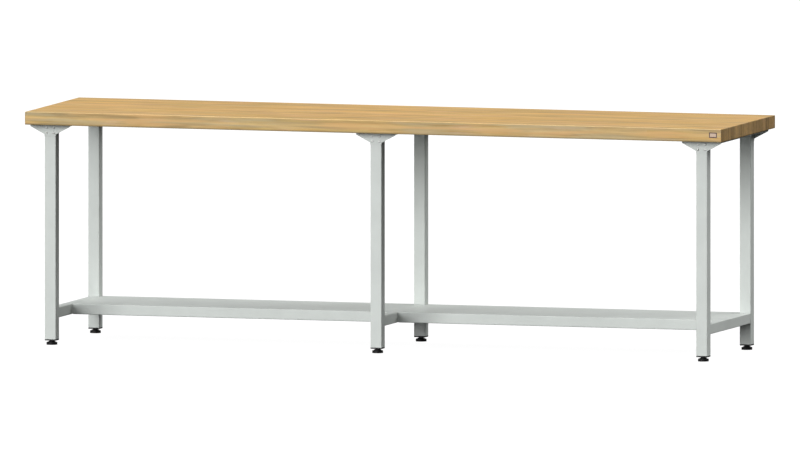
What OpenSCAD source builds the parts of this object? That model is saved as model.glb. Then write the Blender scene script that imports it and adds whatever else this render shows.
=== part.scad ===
// Long workbench: a solid wood worktop on three steel tube frames, with two folded
// sheet shelves between the frames and a levelling foot under each leg.
// X runs along the length, Y from the front to the back, Z up. The origin is on the
// floor, under the middle of the worktop. All sizes are in millimetres.

/* [Worktop] */
// Length of the worktop, left to right
top_l = 2800; // [2000:50:3000]
// Depth of the worktop, front to back
top_d = 700; // [600:10:900]
// Thickness of the worktop
top_t = 50; // [36:1:60]
// Height of the working surface above the floor
bench_h = 900; // [750:10:1100]
// Radius of the eased edges of the worktop
top_ease = 2; // [1:0.5:5]

/* [Frames] */
// Distance from an end of the worktop to the middle of the outer frame
frame_inset = 90; // [90:5:300]
// Distance from the worktop's front edge to the front legs
front_setback = 37.5; // [20:0.5:100]
// Distance from the worktop's rear edge to the rear legs
rear_setback = 52.5; // [20:0.5:100]
// Side of the square leg tube
leg_size = 45; // [42:1:60]
// Wall of the leg tube
leg_wall = 2; // [1.5:0.25:2.25]
// Outer corner radius of the leg tube
leg_r = 3; // [2.5:0.5:6]
// Side of the square crossbar tube
bar_size = 40; // [30:1:42]
// Wall of the crossbar tube
bar_wall = 2; // [1.5:0.25:2.25]
// Outer corner radius of the crossbar tube
bar_r = 3; // [2.5:0.5:6]
// Height of the crossbar's underside above the floor
bar_z = 102; // [80:1:300]

/* [Top bracket] */
// Width of the folded bracket under the worktop
bracket_w = 158; // [130:2:180]
// Sheet thickness of the bracket
bracket_t = 2; // [1.5:0.5:3]
// Inside radius of the bracket's folds
bracket_bend = 1; // [0.5:0.5:2]
// Height of the bracket's side lips
bracket_lip = 6; // [5:1:25]
// Height of the end plates that cover the tops of the legs
plate_h = 45; // [40:1:70]
// Height of the upright part of an end plate's sides, above its slanted part
plate_side = 8; // [7:1:25]
// Height of the end plate's lowest part, which is as wide as the leg
plate_foot = 7; // [2:1:12]

/* [Shelves] */
// Distance from the front legs' rear faces to the shelf's front edge
shelf_setback = 174; // [40:1:260]
// Sheet thickness of the shelf
shelf_t = 1.5; // [1:0.25:2]
// Inside radius of the shelf's folds
shelf_bend = 1.5; // [0.5:0.5:3]
// Height of the shelf's front and rear folds
shelf_fold = 40; // [25:1:60]
// Width of the return under each fold
shelf_return = 12; // [8:1:20]
// How far the end flanges stop above the crossbar's underside
flange_short = 4; // [2:1:8]
// Clearance between a shelf corner and the rear leg
notch_gap = 0.5; // [0.25:0.25:2]
// Width of the stiffener's crown under the shelf
stiff_w = 60; // [30:5:100]
// Depth of the stiffener
stiff_h = 20; // [12:1:30]
// Width of each of the stiffener's flanges
stiff_flange = 15; // [10:1:25]
// Sheet thickness of the stiffener
stiff_t = 1.5; // [1:0.25:2]
// Distance from a stiffener end to the shelf's end flange
stiff_end = 6; // [4:1:30]

/* [Screws] */
// Thread diameter of the screws between the end plates and the legs
plate_screw_d = 5; // [4:1:6]
// Length of those screws under the head
plate_screw_l = 12; // [11:1:20]
// Distance from a leg's side to the middle of its screws
plate_screw_edge = 8; // [8:0.5:10]
// Distance from the worktop's underside to the upper row of screws
plate_screw_top = 12.5; // [11:0.5:15]
// Distance between the two rows of screws
plate_screw_rows = 20; // [12:1:22]
// Thread diameter of the screws that hold the worktop
wood_screw_d = 6; // [4:0.5:8]
// Length of the worktop screws under the head
wood_screw_l = 30; // [20:1:32]
// Distance from the bracket's side to the worktop screws
wood_screw_edge = 29; // [15:1:35]
// Distance from a leg's inner face to the worktop screws
wood_screw_inset = 60; // [25:5:150]
// Thread diameter of the shelf screws
shelf_screw_d = 6; // [4:1:8]
// Length of the shelf screws under the head
shelf_screw_l = 12; // [8:1:14]
// Distance from the shelf's front edge and from the rear leg to the shelf screws
shelf_screw_inset = 50; // [20:5:120]
// Clearance all round a screw in a plain hole
hole_play = 0.25; // [0.2:0.05:0.5]
// Clearance all round a screw in a threaded hole
thread_play = 0.05; // [0.02:0.01:0.1]

/* [Feet] */
// Diameter of the foot's pad
pad_d = 42; // [36:1:60]
// Height of the pad's disc
pad_h = 10; // [8:1:15]
// Radius of the pad's upper rim
pad_rim = 2; // [1:0.5:3]
// Diameter of the pad's neck at its base
neck_d = 30; // [28:1:34]
// Diameter of the pad's neck at its top
neck_top_d = 27; // [24:1:28]
// Height of the pad's neck
neck_h = 3.5; // [2:0.5:6]
// Thickness of the pad under the spindle
pad_floor = 4; // [2.5:0.5:5]
// Diameter of the spindle's journal in the pad
journal_d = 11; // [9:1:12]
// Diameter of the bead that holds the spindle in the pad
bead_d = 15; // [14:1:18]
// Height of the bead
bead_h = 3; // [2:0.5:4]
// Clearance all round the spindle's journal and bead
journal_play = 0.08; // [0.05:0.01:0.1]
// Thread diameter of the spindle
spindle_d = 12; // [10:1:14]
// Length of the spindle above its hexagon
spindle_l = 60; // [52:1:80]
// Width across the flats of the spindle's hexagon
hex_af = 19; // [17:1:22]
// Height of the spindle's hexagon
hex_h = 3.5; // [3:0.5:8]
// Thickness of the end cap's flange under the leg
cap_flange = 5; // [3:0.5:8]
// Length of the end cap's plug inside the leg
cap_plug = 28; // [24:1:32]
// Wall of the plug
cap_wall = 2.5; // [2:0.25:3]
// Wall of the boss around the nut
boss_wall = 2.5; // [2:0.25:3]
// Clearance between the plug's fins and the leg
fin_play = 0.15; // [0.05:0.05:0.3]
// How far the fins stand out from the plug
fin_out = 0.6; // [0.4:0.1:1]
// Thickness of a fin
fin_t = 1.5; // [1:0.25:2]
// Clearance all round the spindle in the end cap
cap_play = 0.5; // [0.3:0.1:1]
// Clearance all round the nut in its pocket
nut_play = 0.1; // [0.05:0.05:0.2]

/* [Hidden] */
$fn = 64;
LEFT = 0;
MIDDLE = 1;
RIGHT = 2;
FRONT = 0;
REAR = 1;
HEX = 6;
// Proportions of metric fasteners, in thread diameters
NUT_AF = 1.6;
NUT_H = 0.8;
HEAD_D = 1.9;
HEAD_TOP_D = 1.2;
HEAD_H = 0.55;
SOCKET_AF = 0.6;
SOCKET_H = 0.35;
POINT_D = 0.2;
// Length added to a cutting body so that it passes right through
cut = 1;
// Height of the chamfer at the spindle's upper end
spindle_tip = 1.5;
// Places of the plug's fins, as shares of the plug's length
FIN_PLACES = [0.3, 0.65];

wood = [0.80, 0.62, 0.42];
paint = [0.80, 0.82, 0.81];
black = [0.06, 0.06, 0.06];
zinc = [0.74, 0.75, 0.77];

frame_pitch = top_l / 2 - frame_inset;
underside = bench_h - top_t;
web_under = underside - bracket_t;
leg_top = web_under - bracket_bend;
cap_z = pad_h + neck_h + hex_h;
leg_bottom = cap_z + cap_flange;
cap_top = leg_bottom + cap_plug;
leg_inner = leg_size - 2 * leg_wall;

front_face = -top_d / 2 + front_setback;
rear_face = top_d / 2 - rear_setback;
bar_front = front_face + leg_size;
bar_rear = rear_face - leg_size;
bar_top = bar_z + bar_size;

plate_screw_x = leg_size / 2 - plate_screw_edge;
wood_screw_x = bracket_w / 2 - wood_screw_edge;
nut_h = NUT_H * spindle_d;
nut_af = NUT_AF * spindle_d;

shelf_front = bar_front + shelf_setback;
shelf_l = frame_pitch - bar_size;
shelf_depth = rear_face - shelf_front;
shelf_outer_r = shelf_bend + shelf_t;
flange_rear = bar_rear - notch_gap;
flange_h = bar_size - flange_short;
shelf_screw_z = bar_z + bar_size / 2;
shelf_screw_ys = [shelf_front + shelf_screw_inset, bar_rear - shelf_screw_inset];

// Middle of a frame along X
function frame_x(frame) = (frame - MIDDLE) * frame_pitch;
// Middle of a leg along Y
function leg_y(row) = row == FRONT ? front_face + leg_size / 2 : rear_face - leg_size / 2;
// Diameter over the corners of a hexagon
function over_corners(af) = af / cos(180 / HEX);

// Square with round corners, about the origin
module rounded_square(size, r) {
    square([size, size - 2 * r], center = true);
    square([size - 2 * r, size], center = true);
    for (x = [-1, 1], y = [-1, 1]) translate([x, y] * (size / 2 - r)) circle(r);
}

// Wall of a square tube
module tube_wall(size, wall, r) {
    difference() {
        rounded_square(size, r);
        rounded_square(size - 2 * wall, r - wall);
    }
}

// Quarter of a ring in the first quadrant: the section of a fold
module fold(bend, t) {
    intersection() {
        difference() {
            circle(bend + t);
            circle(bend);
        }
        square(bend + t);
    }
}

// Section of a sheet folded down at both sides, with a return under each side if back > 0
module folded_section(w, h, t, bend, back = 0) {
    r = bend + t;
    foot = back > 0 ? r : 0;
    translate([r, h - t]) square([w - 2 * r, t]);
    for (side = [0, 1]) translate([side * w, 0]) mirror([side, 0]) {
        translate([r, h - r]) rotate(90) fold(bend, t);
        translate([0, foot]) square([t, h - r - foot]);
        if (back > 0) {
            translate([r, r]) rotate(180) fold(bend, t);
            translate([r, 0]) square([back - r, t]);
        }
    }
}

// Carries a section drawn in Y and Z along X, from x = 0
module along_x(length) {
    rotate([90, 0, 90]) linear_extrude(length) children();
}

// Carries a section drawn in X and Z along Y, from y = 0
module along_y(length) {
    translate([0, length, 0]) rotate([90, 0, 0]) linear_extrude(length) children();
}

// Turns a screw that points up to one that points along Y, inwards from a row's outer face
module inwards(row) {
    rotate([row == FRONT ? -90 : 90, 0, 0]) children();
}

// Button head screw that points up, with its seat at z = 0
module screw(d, l, point = 0) {
    cylinder(d = d, h = l - point);
    if (point > 0) translate([0, 0, l - point]) cylinder(d1 = d, d2 = POINT_D * d, h = point);
    difference() {
        translate([0, 0, -HEAD_H * d]) cylinder(d1 = HEAD_TOP_D * d, d2 = HEAD_D * d, h = HEAD_H * d);
        translate([0, 0, -HEAD_H * d - cut])
            cylinder(d = over_corners(SOCKET_AF * d), h = SOCKET_H * d + cut, $fn = HEX);
    }
}

// Hexagon nut from z = 0 up, with two flats square to X
module nut(d) {
    difference() {
        rotate(180 / HEX) cylinder(d = over_corners(NUT_AF * d), h = NUT_H * d, $fn = HEX);
        translate([0, 0, -cut]) cylinder(d = d + 2 * thread_play, h = NUT_H * d + 2 * cut);
    }
}

// Places something at each screw of one leg's end plate, pointing inwards from the leg's outer face
module at_plate_screws(frame, row) {
    y = row == FRONT ? front_face : rear_face;
    for (side = [-1, 1], line = [0, 1])
        translate([
            frame_x(frame) + side * plate_screw_x,
            y,
            underside - plate_screw_top - line * plate_screw_rows
        ])
            inwards(row) children();
}

// Places something at each worktop screw of one frame, pointing up from the bracket's web
module at_wood_screws(frame) {
    for (side = [-1, 1], y = [bar_front + wood_screw_inset, bar_rear - wood_screw_inset])
        translate([frame_x(frame) + side * wood_screw_x, y, web_under]) children();
}

// Places something at each shelf screw of one bay, pointing out of the bay at the crossbar's side
module at_shelf_screws(bay) {
    for (side = [0, 1], y = shelf_screw_ys)
        translate([frame_x(bay) + bar_size / 2 + side * shelf_l, y, shelf_screw_z])
            rotate([0, side == 0 ? -90 : 90, 0]) children();
}

// Places something under each leg, at the floor
module at_leg(frame, row) {
    translate([frame_x(frame), leg_y(row), 0]) children();
}

module worktop() {
    color(wood) difference() {
        intersection() {
            translate([-top_l / 2, 0, underside]) along_x(top_l) eased_section(top_d);
            translate([0, -top_d / 2, underside]) along_y(top_d) eased_section(top_l);
        }
        for (frame = [LEFT:RIGHT]) at_wood_screws(frame)
            cylinder(d = wood_screw_d + 2 * thread_play, h = wood_screw_l + cut);
    }
}

// Section of the worktop, from z = 0, with eased corners
module eased_section(w) {
    translate([-w / 2, top_ease]) square([w, top_t - 2 * top_ease]);
    translate([-w / 2 + top_ease, 0]) square([w - 2 * top_ease, top_t]);
    for (x = [-1, 1], z = [top_ease, top_t - top_ease])
        translate([x * (w / 2 - top_ease), z]) circle(top_ease);
}

module leg(frame, row) {
    color(paint) difference() {
        at_leg(frame, row) translate([0, 0, leg_bottom])
            linear_extrude(leg_top - leg_bottom) tube_wall(leg_size, leg_wall, leg_r);
        at_plate_screws(frame, row) translate([0, 0, -cut])
            cylinder(d = plate_screw_d + 2 * hole_play, h = leg_wall + 2 * cut);
    }
}

module crossbar(frame) {
    color(paint) difference() {
        translate([frame_x(frame), bar_front, bar_z + bar_size / 2])
            along_y(bar_rear - bar_front) tube_wall(bar_size, bar_wall, bar_r);
        for (bay = [frame - 1, frame]) if (bay >= LEFT && bay < RIGHT)
            at_shelf_screws(bay) translate([0, 0, -cut])
                cylinder(d = shelf_screw_d + 2 * thread_play, h = bar_wall + 2 * cut);
    }
}

module top_bracket(frame) {
    r = bracket_bend + bracket_t;
    plate_front = front_face - bracket_t;
    plate_rear = rear_face + bracket_t;
    color(paint) difference() {
        translate([frame_x(frame), 0, 0]) {
            translate([-bracket_w / 2, plate_front + r, underside - bracket_lip])
                along_y(plate_rear - plate_front - 2 * r)
                folded_section(bracket_w, bracket_lip, bracket_t, bracket_bend);
            for (row = [FRONT, REAR])
                translate([0, row == FRONT ? plate_front : plate_rear, underside])
                    mirror([0, row, 0]) end_plate(r);
        }
        for (row = [FRONT, REAR]) at_plate_screws(frame, row) translate([0, 0, -bracket_t - cut])
            cylinder(d = plate_screw_d + 2 * hole_play, h = bracket_t + 2 * cut);
        at_wood_screws(frame) translate([0, 0, -cut])
            cylinder(d = wood_screw_d + 2 * hole_play, h = bracket_t + 2 * cut);
    }
}

// End plate of the bracket and the fold that joins it to the web, from its outer face towards +Y.
// z = 0 is the worktop's underside, and r the outer radius of the fold.
module end_plate(r) {
    along_y(bracket_t) polygon([
        [-bracket_w / 2, -r],
        [bracket_w / 2, -r],
        [bracket_w / 2, -plate_side],
        [leg_size / 2, plate_foot - plate_h],
        [leg_size / 2, -plate_h],
        [-leg_size / 2, -plate_h],
        [-leg_size / 2, plate_foot - plate_h],
        [-bracket_w / 2, -plate_side]
    ]);
    translate([-bracket_w / 2 + r, r, -r]) along_x(bracket_w - 2 * r)
        rotate(90) fold(bracket_bend, bracket_t);
}

module shelf(bay) {
    r = shelf_outer_r;
    leg_clear = (leg_size - bar_size) / 2 + notch_gap;
    color(paint) difference() {
        translate([frame_x(bay) + bar_size / 2, 0, bar_top]) {
            translate([r, shelf_front, -shelf_fold]) along_x(shelf_l - 2 * r)
                folded_section(shelf_depth, shelf_fold, shelf_t, shelf_bend, shelf_return);
            for (side = [0, 1]) translate([side * shelf_l, 0, 0]) mirror([side, 0, 0]) shelf_end(r);
        }
        for (side = [0, 1])
            translate([frame_x(bay) + bar_size / 2 + side * shelf_l, 0, 0]) mirror([side, 0, 0])
            translate([-cut, flange_rear, bar_top - shelf_fold - cut])
            cube([leg_clear + cut, leg_size + notch_gap + cut, shelf_fold + 2 * cut]);
        at_shelf_screws(bay) translate([0, 0, -shelf_t - cut])
            cylinder(d = shelf_screw_d + 2 * hole_play, h = shelf_t + 2 * cut);
    }
}

// Left end of a shelf: its flange against the crossbar, and the front fold's end.
// x = 0 is the crossbar's side, z = 0 the shelf's top, and r the outer radius of the folds.
module shelf_end(r) {
    translate([0, shelf_front + r, 0]) along_y(flange_rear - shelf_front - r) {
        translate([r, -r]) rotate(90) fold(shelf_bend, shelf_t);
        translate([0, -flange_h]) square([shelf_t, flange_h - r]);
    }
    translate([0, shelf_front, -shelf_fold + r]) cube([r, shelf_t, shelf_fold - 2 * r]);
}

// Stiffener under the middle of a shelf, open towards the shelf
module shelf_stiffener(bay) {
    z = bar_top - shelf_t;
    x = frame_x(bay) + bar_size / 2 + shelf_t + stiff_end;
    color(paint) translate([x, shelf_front + shelf_depth / 2, z])
        along_x(shelf_l - 2 * (shelf_t + stiff_end)) {
            translate([-stiff_w / 2, -stiff_h]) square([stiff_w, stiff_t]);
            for (side = [0, 1]) mirror([side, 0]) {
                translate([stiff_w / 2 - stiff_t, -stiff_h]) square([stiff_t, stiff_h]);
                translate([stiff_w / 2 - stiff_t, -stiff_t]) square([stiff_flange + stiff_t, stiff_t]);
            }
        }
}

// End cap of a leg: a flange under the tube, a ribbed plug with fins and a boss that holds the nut
module end_cap(frame, row) {
    fin = leg_inner - 2 * fin_play;
    plug = fin - 2 * fin_out;
    plug_r = leg_r - leg_wall;
    boss_d = over_corners(nut_af + 2 * nut_play) + 2 * boss_wall;
    color(black) at_leg(frame, row) difference() {
        union() {
            translate([0, 0, cap_z]) linear_extrude(cap_flange) rounded_square(leg_size, leg_r);
            translate([0, 0, leg_bottom]) linear_extrude(cap_plug) {
                tube_wall(plug, cap_wall, plug_r + cap_wall);
                square([plug - cap_wall, cap_wall], center = true);
                square([cap_wall, plug - cap_wall], center = true);
                circle(d = boss_d);
            }
            for (place = FIN_PLACES) translate([0, 0, leg_bottom + place * cap_plug])
                linear_extrude(fin_t) tube_wall(fin, cap_wall, plug_r + cap_wall);
        }
        translate([0, 0, cap_z - cut])
            cylinder(d = spindle_d + 2 * cap_play, h = cap_flange + cap_plug + 2 * cut);
        translate([0, 0, cap_top - nut_h]) rotate(180 / HEX)
            cylinder(d = over_corners(nut_af + 2 * nut_play), h = nut_h + cut, $fn = HEX);
    }
}

// Pad of a levelling foot: a disc and a tapered neck, with a snap socket for the spindle
module foot_pad(frame, row) {
    color(black) at_leg(frame, row) rotate_extrude() difference() {
        union() {
            square([pad_d / 2 - pad_rim, pad_h]);
            square([pad_d / 2, pad_h - pad_rim]);
            translate([pad_d / 2 - pad_rim, pad_h - pad_rim]) circle(pad_rim);
            polygon([[0, 0], [neck_d / 2, pad_h], [neck_top_d / 2, pad_h + neck_h], [0, pad_h + neck_h]]);
        }
        translate([0, pad_floor]) {
            square([bead_d / 2 + journal_play, bead_h + journal_play]);
            square([journal_d / 2 + journal_play, pad_h + neck_h]);
        }
    }
}

// Spindle of a levelling foot: bead, journal, hexagon and threaded stem
module foot_spindle(frame, row) {
    color(black) at_leg(frame, row) {
        translate([0, 0, pad_floor]) cylinder(d = bead_d, h = bead_h);
        translate([0, 0, pad_floor]) cylinder(d = journal_d, h = pad_h + neck_h - pad_floor);
        translate([0, 0, pad_h + neck_h]) cylinder(d = over_corners(hex_af), h = hex_h, $fn = HEX);
        translate([0, 0, cap_z]) cylinder(d = spindle_d, h = spindle_l - spindle_tip);
        translate([0, 0, cap_z + spindle_l - spindle_tip])
            cylinder(d1 = spindle_d, d2 = spindle_d - 2 * spindle_tip, h = spindle_tip);
    }
}

module foot_nuts() {
    color(zinc) for (frame = [LEFT:RIGHT], row = [FRONT, REAR])
        at_leg(frame, row) translate([0, 0, cap_top - nut_h]) nut(spindle_d);
}

module bracket_screws() {
    color(zinc) for (frame = [LEFT:RIGHT], row = [FRONT, REAR])
        at_plate_screws(frame, row) translate([0, 0, -bracket_t]) screw(plate_screw_d, plate_screw_l);
}

module bracket_nuts() {
    color(zinc) for (frame = [LEFT:RIGHT], row = [FRONT, REAR])
        at_plate_screws(frame, row) translate([0, 0, leg_wall]) nut(plate_screw_d);
}

module worktop_screws() {
    color(zinc) for (frame = [LEFT:RIGHT])
        at_wood_screws(frame) screw(wood_screw_d, wood_screw_l, wood_screw_d);
}

module shelf_screws() {
    color(zinc) for (bay = [LEFT, MIDDLE])
        at_shelf_screws(bay) translate([0, 0, -shelf_t]) screw(shelf_screw_d, shelf_screw_l);
}

worktop();
leg(LEFT, FRONT);  // leg_front_left
leg(MIDDLE, FRONT);  // leg_front_middle
leg(RIGHT, FRONT);  // leg_front_right
leg(LEFT, REAR);  // leg_rear_left
leg(MIDDLE, REAR);  // leg_rear_middle
leg(RIGHT, REAR);  // leg_rear_right
crossbar(LEFT);  // crossbar_left
crossbar(MIDDLE);  // crossbar_middle
crossbar(RIGHT);  // crossbar_right
top_bracket(LEFT);  // top_bracket_left
top_bracket(MIDDLE);  // top_bracket_middle
top_bracket(RIGHT);  // top_bracket_right
shelf(LEFT);  // shelf_left
shelf(MIDDLE);  // shelf_right
shelf_stiffener(LEFT);  // shelf_stiffener_left
shelf_stiffener(MIDDLE);  // shelf_stiffener_right
end_cap(LEFT, FRONT);  // end_cap_front_left
end_cap(MIDDLE, FRONT);  // end_cap_front_middle
end_cap(RIGHT, FRONT);  // end_cap_front_right
end_cap(LEFT, REAR);  // end_cap_rear_left
end_cap(MIDDLE, REAR);  // end_cap_rear_middle
end_cap(RIGHT, REAR);  // end_cap_rear_right
foot_pad(LEFT, FRONT);  // foot_pad_front_left
foot_pad(MIDDLE, FRONT);  // foot_pad_front_middle
foot_pad(RIGHT, FRONT);  // foot_pad_front_right
foot_pad(LEFT, REAR);  // foot_pad_rear_left
foot_pad(MIDDLE, REAR);  // foot_pad_rear_middle
foot_pad(RIGHT, REAR);  // foot_pad_rear_right
foot_spindle(LEFT, FRONT);  // foot_spindle_front_left
foot_spindle(MIDDLE, FRONT);  // foot_spindle_front_middle
foot_spindle(RIGHT, FRONT);  // foot_spindle_front_right
foot_spindle(LEFT, REAR);  // foot_spindle_rear_left
foot_spindle(MIDDLE, REAR);  // foot_spindle_rear_middle
foot_spindle(RIGHT, REAR);  // foot_spindle_rear_right
foot_nuts();
bracket_screws();
bracket_nuts();
worktop_screws();
shelf_screws();
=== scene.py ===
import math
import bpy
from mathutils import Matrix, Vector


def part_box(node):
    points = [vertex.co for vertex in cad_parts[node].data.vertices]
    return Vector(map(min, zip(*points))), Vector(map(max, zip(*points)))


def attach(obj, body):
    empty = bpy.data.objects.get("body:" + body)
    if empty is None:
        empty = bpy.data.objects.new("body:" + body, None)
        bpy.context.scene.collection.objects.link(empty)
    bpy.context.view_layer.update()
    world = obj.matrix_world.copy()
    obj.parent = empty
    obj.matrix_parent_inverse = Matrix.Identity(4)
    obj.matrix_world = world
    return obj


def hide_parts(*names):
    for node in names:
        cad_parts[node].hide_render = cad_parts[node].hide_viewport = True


bl_info = {
    "name": "Workbench Looks",
    "version": (1, 0, 0),
    "blender": (4, 5, 0),
    "location": "3D View > Sidebar > Workbench",
    "description": "Finishes, screws, levelling feet, welds, label and studio of a long workbench",
    "category": "Object",
}

import bpy
import numpy as np
from bpy.props import FloatProperty, FloatVectorProperty, IntProperty, PointerProperty
from mathutils import Vector

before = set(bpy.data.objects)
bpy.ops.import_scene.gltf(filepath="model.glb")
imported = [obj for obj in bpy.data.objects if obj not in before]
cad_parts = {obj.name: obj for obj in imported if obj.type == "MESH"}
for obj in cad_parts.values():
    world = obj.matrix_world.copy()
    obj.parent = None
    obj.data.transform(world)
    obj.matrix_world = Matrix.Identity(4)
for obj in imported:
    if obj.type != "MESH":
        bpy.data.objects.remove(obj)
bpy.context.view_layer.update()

MM = 0.001
WHITE = (1.0, 1.0, 1.0)
SIDES = ("left", "middle", "right")
FEET = [f"{row}_{side}" for row in ("front", "rear") for side in SIDES]
TOP_LOW, TOP_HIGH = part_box("worktop")

# Turns that bring a solid's +Z to that side
UPRIGHT = np.eye(3)
TO_BACK = np.array([[1, 0, 0], [0, 0, 1], [0, -1, 0]], float)
TO_FRONT = np.array([[1, 0, 0], [0, 0, -1], [0, 1, 0]], float)
TO_RIGHT = np.array([[0, 0, 1], [0, 1, 0], [-1, 0, 0]], float)
TO_LEFT = np.array([[0, 0, -1], [0, 1, 0], [1, 0, 0]], float)


# Properties


def amount(name, description, default, **settings):
    """A number from 0."""
    return FloatProperty(name=name, description=description, default=default, min=0.0, **settings)


def length(name, description, default):
    """A length in metres."""
    return amount(name, description, default, unit="LENGTH", precision=5)


def mm(name, description, default):
    """A length in millimetres, kept in metres."""
    return length(name, description, default * MM)


def share(name, description, default):
    """A share from 0 to 1."""
    return amount(name, description, default, max=1.0, subtype="FACTOR")


def tint(name, owner, default):
    """The colour of something, in linear light."""
    return FloatVectorProperty(
        name=name, description=f"Colour of {owner}", default=default,
        size=3, min=0.0, max=1.0, subtype="COLOR",
    )


def angle(name, description, degrees):
    """An angle in degrees, kept in radians."""
    return FloatProperty(
        name=name, description=description, default=math.radians(degrees), subtype="ANGLE"
    )


class WorktopLook(bpy.types.PropertyGroup):
    """The glued beech worktop."""

    staves: IntProperty(
        name="Staves", description="Staves across the depth", default=17, min=4
    )
    piece_length: length("Piece length", "Mean length of the finger-jointed pieces", 0.56)
    finger_depth: mm("Finger depth", "Depth of the finger joints", 5)
    finger_pitch: mm("Finger pitch", "From one finger to the next", 6)
    ring_spacing: mm("Ring spacing", "Distance between growth rings", 2.6)
    edge: mm("Eased edge", "Radius of the eased edges", 2)
    light: tint("Light wood", "the palest pieces", (0.800, 0.585, 0.285))
    golden: tint("Golden wood", "most of the wood", (0.693, 0.514, 0.192))
    orange: tint("Orange wood", "the warmest streaks", (0.768, 0.468, 0.165))
    pink: tint("Pink wood", "the pinkish streaks", (0.734, 0.468, 0.329))
    olive: tint("Olive wood", "the greenish streaks", (0.400, 0.335, 0.198))
    dark: tint("Dark wood", "the darkest streaks", (0.375, 0.275, 0.125))
    warm: tint("Warm streaks", "the long faces' warmer streaks", (0.670, 0.402, 0.168))
    cool: tint("Cool streaks", "the long faces' cooler streaks", (0.495, 0.408, 0.242))
    late: tint("Late wood", "the dark side of a growth ring", (0.400, 0.235, 0.085))
    pore: tint("Pores", "the fine lines of pores", (0.400, 0.245, 0.095))
    fleck: tint("Flecks", "the short flecks", (0.330, 0.185, 0.065))
    glue: tint("Glue lines", "the glue in the joints", (0.300, 0.165, 0.060))
    # Painted highlight along the upper arrises
    arris_highlight: tint("Edge highlight", "the highlight painted along the upper edges", (0.900, 0.680, 0.340))
    end_shade: share("End grain", "Share of the colour that the end grain keeps", 0.565)
    # Painted shade: a darker, warmer tint over the top face, standing in for light
    top_painted_shade: tint("Painted top shade", "the shade painted over the top", (0.850, 0.750, 0.605))
    roughness: share("Roughness", "Roughness of the oiled surface", 0.56)


class PaintLook(bpy.types.PropertyGroup):
    """The powder coat of the steel frames and shelves."""

    color: tint("Colour", "the powder coat", (0.590, 0.625, 0.600))
    roughness: share("Roughness", "Mean roughness of the coat", 0.46)
    grain: mm("Texture size", "Size of the coat's fine texture", 1.1)
    depth: mm("Texture depth", "Depth of the coat's fine texture", 0.02)


class PlasticLook(bpy.types.PropertyGroup):
    """The moulded plastic of end caps and foot pads."""

    color: tint("Colour", "the plastic", (0.006, 0.006, 0.0065))
    roughness: share("Roughness", "Mean roughness of the plastic", 0.50)
    grain: mm("Texture size", "Size of the moulded texture", 0.7)
    depth: mm("Texture depth", "Depth of the moulded texture", 0.03)


class SteelLook(bpy.types.PropertyGroup):
    """The zinc plate of screws and nuts, and the black zinc plate of the spindles."""

    color: tint("Colour", "the zinc plate", (0.74, 0.75, 0.74))
    black: tint("Black", "the black zinc plate", (0.030, 0.030, 0.032))
    roughness: share("Roughness", "Mean roughness of the plate", 0.58)
    grain: mm("Texture size", "Size of the plate's faint clouds", 1.6)


class ScrewSizes(bpy.types.PropertyGroup):
    """Button head screws: sizes, and places on the frames."""

    plate_d: mm("Plate screws", "Diameter of their thread", 5)
    plate_length: mm("Plate screw length", "Length under the head", 12)
    plate_edge: mm("Plate screw edge", "From a leg's side", 8)
    plate_top: mm("Plate screw drop", "From the worktop to the upper row", 12.5)
    plate_rows: mm("Plate screw rows", "Distance between the two rows", 20)
    plate_sheet: mm("Bracket sheet", "Sheet thickness of the bracket", 2)
    plate_pitch: mm("Plate screw pitch", "Pitch of their thread", 0.8)
    wood_d: mm("Worktop screws", "Diameter of their thread", 6)
    wood_length: mm("Worktop screw length", "Length under the head", 30)
    wood_edge: mm("Worktop screw edge", "From the bracket's side", 29)
    wood_inset: mm("Worktop screw inset", "From a leg's inner face", 60)
    wood_pitch: mm("Worktop screw pitch", "Pitch of their thread", 2.6)
    shelf_d: mm("Shelf screws", "Diameter of their thread", 6)
    shelf_length: mm("Shelf screw length", "Length under the head", 12)
    shelf_inset: mm("Shelf screw inset", "From shelf front and rear leg", 50)
    shelf_sheet: mm("Shelf sheet", "Sheet thickness of the shelf", 1.5)
    shelf_pitch: mm("Shelf screw pitch", "Pitch of their thread", 1.0)


class FootSizes(bpy.types.PropertyGroup):
    """Levelling feet: pad and threaded spindle."""

    pad_h: mm("Pad height", "Height of the pad's disc", 10)
    pad_rim: mm("Pad rim", "Radius of the disc's upper rim", 2)
    grips: IntProperty(name="Grips", description="Grip flutes round the disc", default=30, min=3)
    grip_depth: mm("Grip depth", "Depth of a grip flute", 0.5)
    neck_d: mm("Neck diameter", "Diameter of the neck at its base", 30)
    neck_top_d: mm("Neck top", "Diameter of the neck at its top", 27)
    floor: mm("Pad floor", "Thickness of the pad under the spindle", 4)
    bead_d: mm("Bead diameter", "Diameter of the spindle's bead", 15)
    bead_h: mm("Bead height", "Height of the spindle's bead", 3)
    journal_d: mm("Journal", "Diameter of the spindle's journal", 11)
    play: mm("Play", "Clearance round the bead and journal", 0.08)
    hex_af: mm("Hexagon", "Width across the flats", 19)
    hex_h: mm("Hexagon height", "Height of the hexagon", 3.5)
    thread_d: mm("Thread", "Outer diameter of the spindle's thread", 12)
    pitch: mm("Pitch", "Pitch of the spindle's thread", 1.75)
    tip: mm("Tip", "Height of the chamfer at the spindle's end", 1.5)


class WeldSizes(bpy.types.PropertyGroup):
    """Weld beads where crossbars meet legs."""

    bead: mm("Bead", "Leg of the weld above and below a crossbar", 2.6)
    side_bead: mm("Side bead", "Leg of the weld beside a crossbar", 1.7)
    ripple: mm("Ripple", "From one ripple to the next", 1.7)
    bar_radius: mm("Bar radius", "Corner radius of the crossbar tube", 3)
    leg_radius: mm("Leg radius", "Corner radius of the leg tube", 3)


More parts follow.
